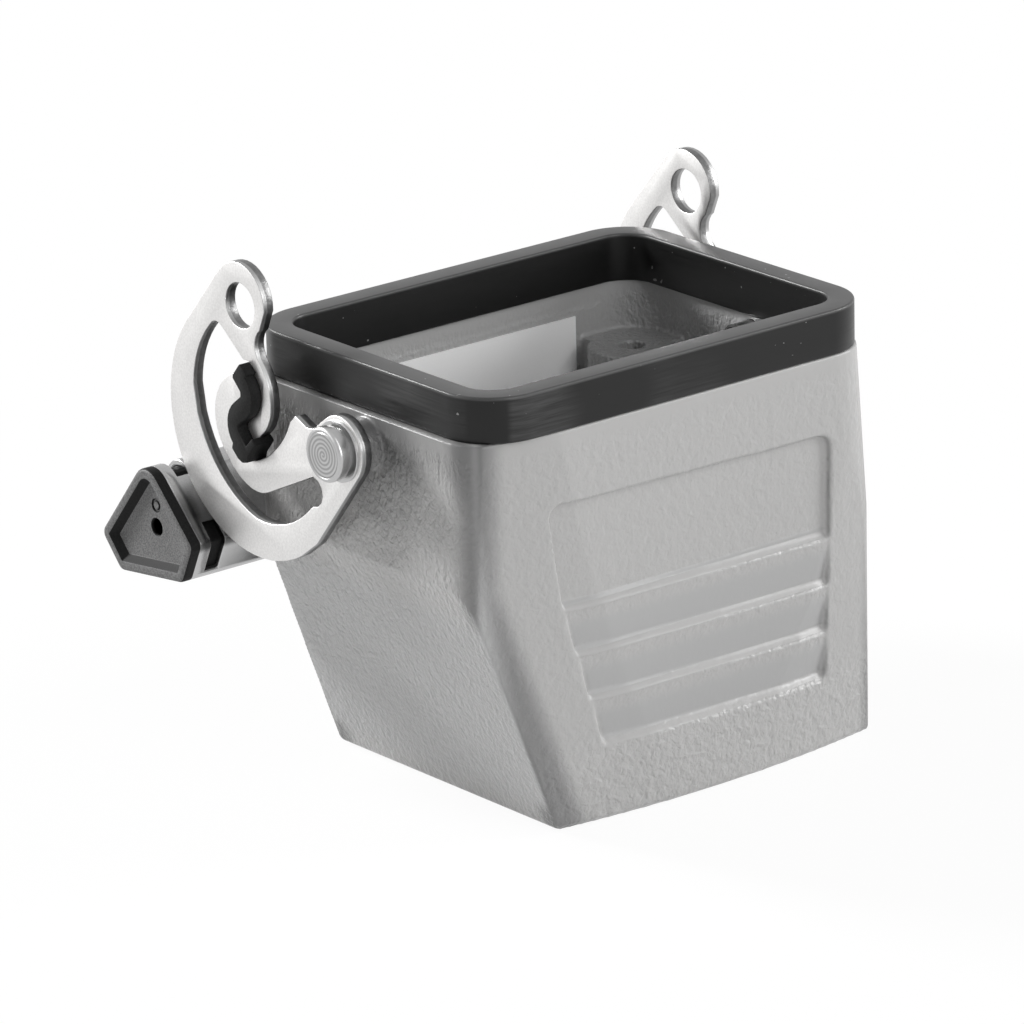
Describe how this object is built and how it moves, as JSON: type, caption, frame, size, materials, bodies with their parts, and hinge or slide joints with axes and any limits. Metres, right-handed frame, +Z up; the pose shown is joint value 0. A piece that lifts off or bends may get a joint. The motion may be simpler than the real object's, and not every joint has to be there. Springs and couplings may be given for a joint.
{
  "type": "heavy duty rectangular connector",
  "caption": "Empty die-cast hood for a rectangular connector, with rim seal, side cable entry and one hinged locking lever.",
  "frame": {"origin": "on the base face, straight below the middle of the opening", "axes": "+Z up through the opening, +X along the long side towards the cable entry, +Y towards the handle of the open lever"},
  "size_m": [0.0766, 0.0632, 0.0644],
  "materials": {
    "cast_paint": "light grey powder coat with a fine pebbled texture, satin",
    "seal_rubber": "black moulded rubber, satin",
    "label_film": "blank pale film",
    "turned_steel": "turned, with fine concentric rings",
    "plate_steel": "tumbled bright sheet",
    "black_plastic": "smooth black moulding",
    "sleeve_steel": "polished sheet",
    "cap_plastic": "finely grained black moulding"
  },
  "bodies": {
    "hood": {"housing": "cast_paint", "rim_seal": "seal_rubber", "inner_label": "label_film", "left_pivot_pin": "turned_steel", "right_pivot_pin": "turned_steel"},
    "lever": {"left_lever_plate": "plate_steel", "right_lever_plate": "plate_steel", "left_cam_insert": "black_plastic", "right_cam_insert": "black_plastic", "handle_sleeve": "sleeve_steel", "handle_core": "black_plastic", "left_end_cap": "cap_plastic", "right_end_cap": "cap_plastic"}
  },
  "joints": [
    {"name": "lever_hinge", "type": "hinge", "parent": "hood", "child": "lever", "pos_m": [0, -0.00195, 0.04585], "axis": [1, 0, 0], "range_deg": [0, 80]}
  ]
}
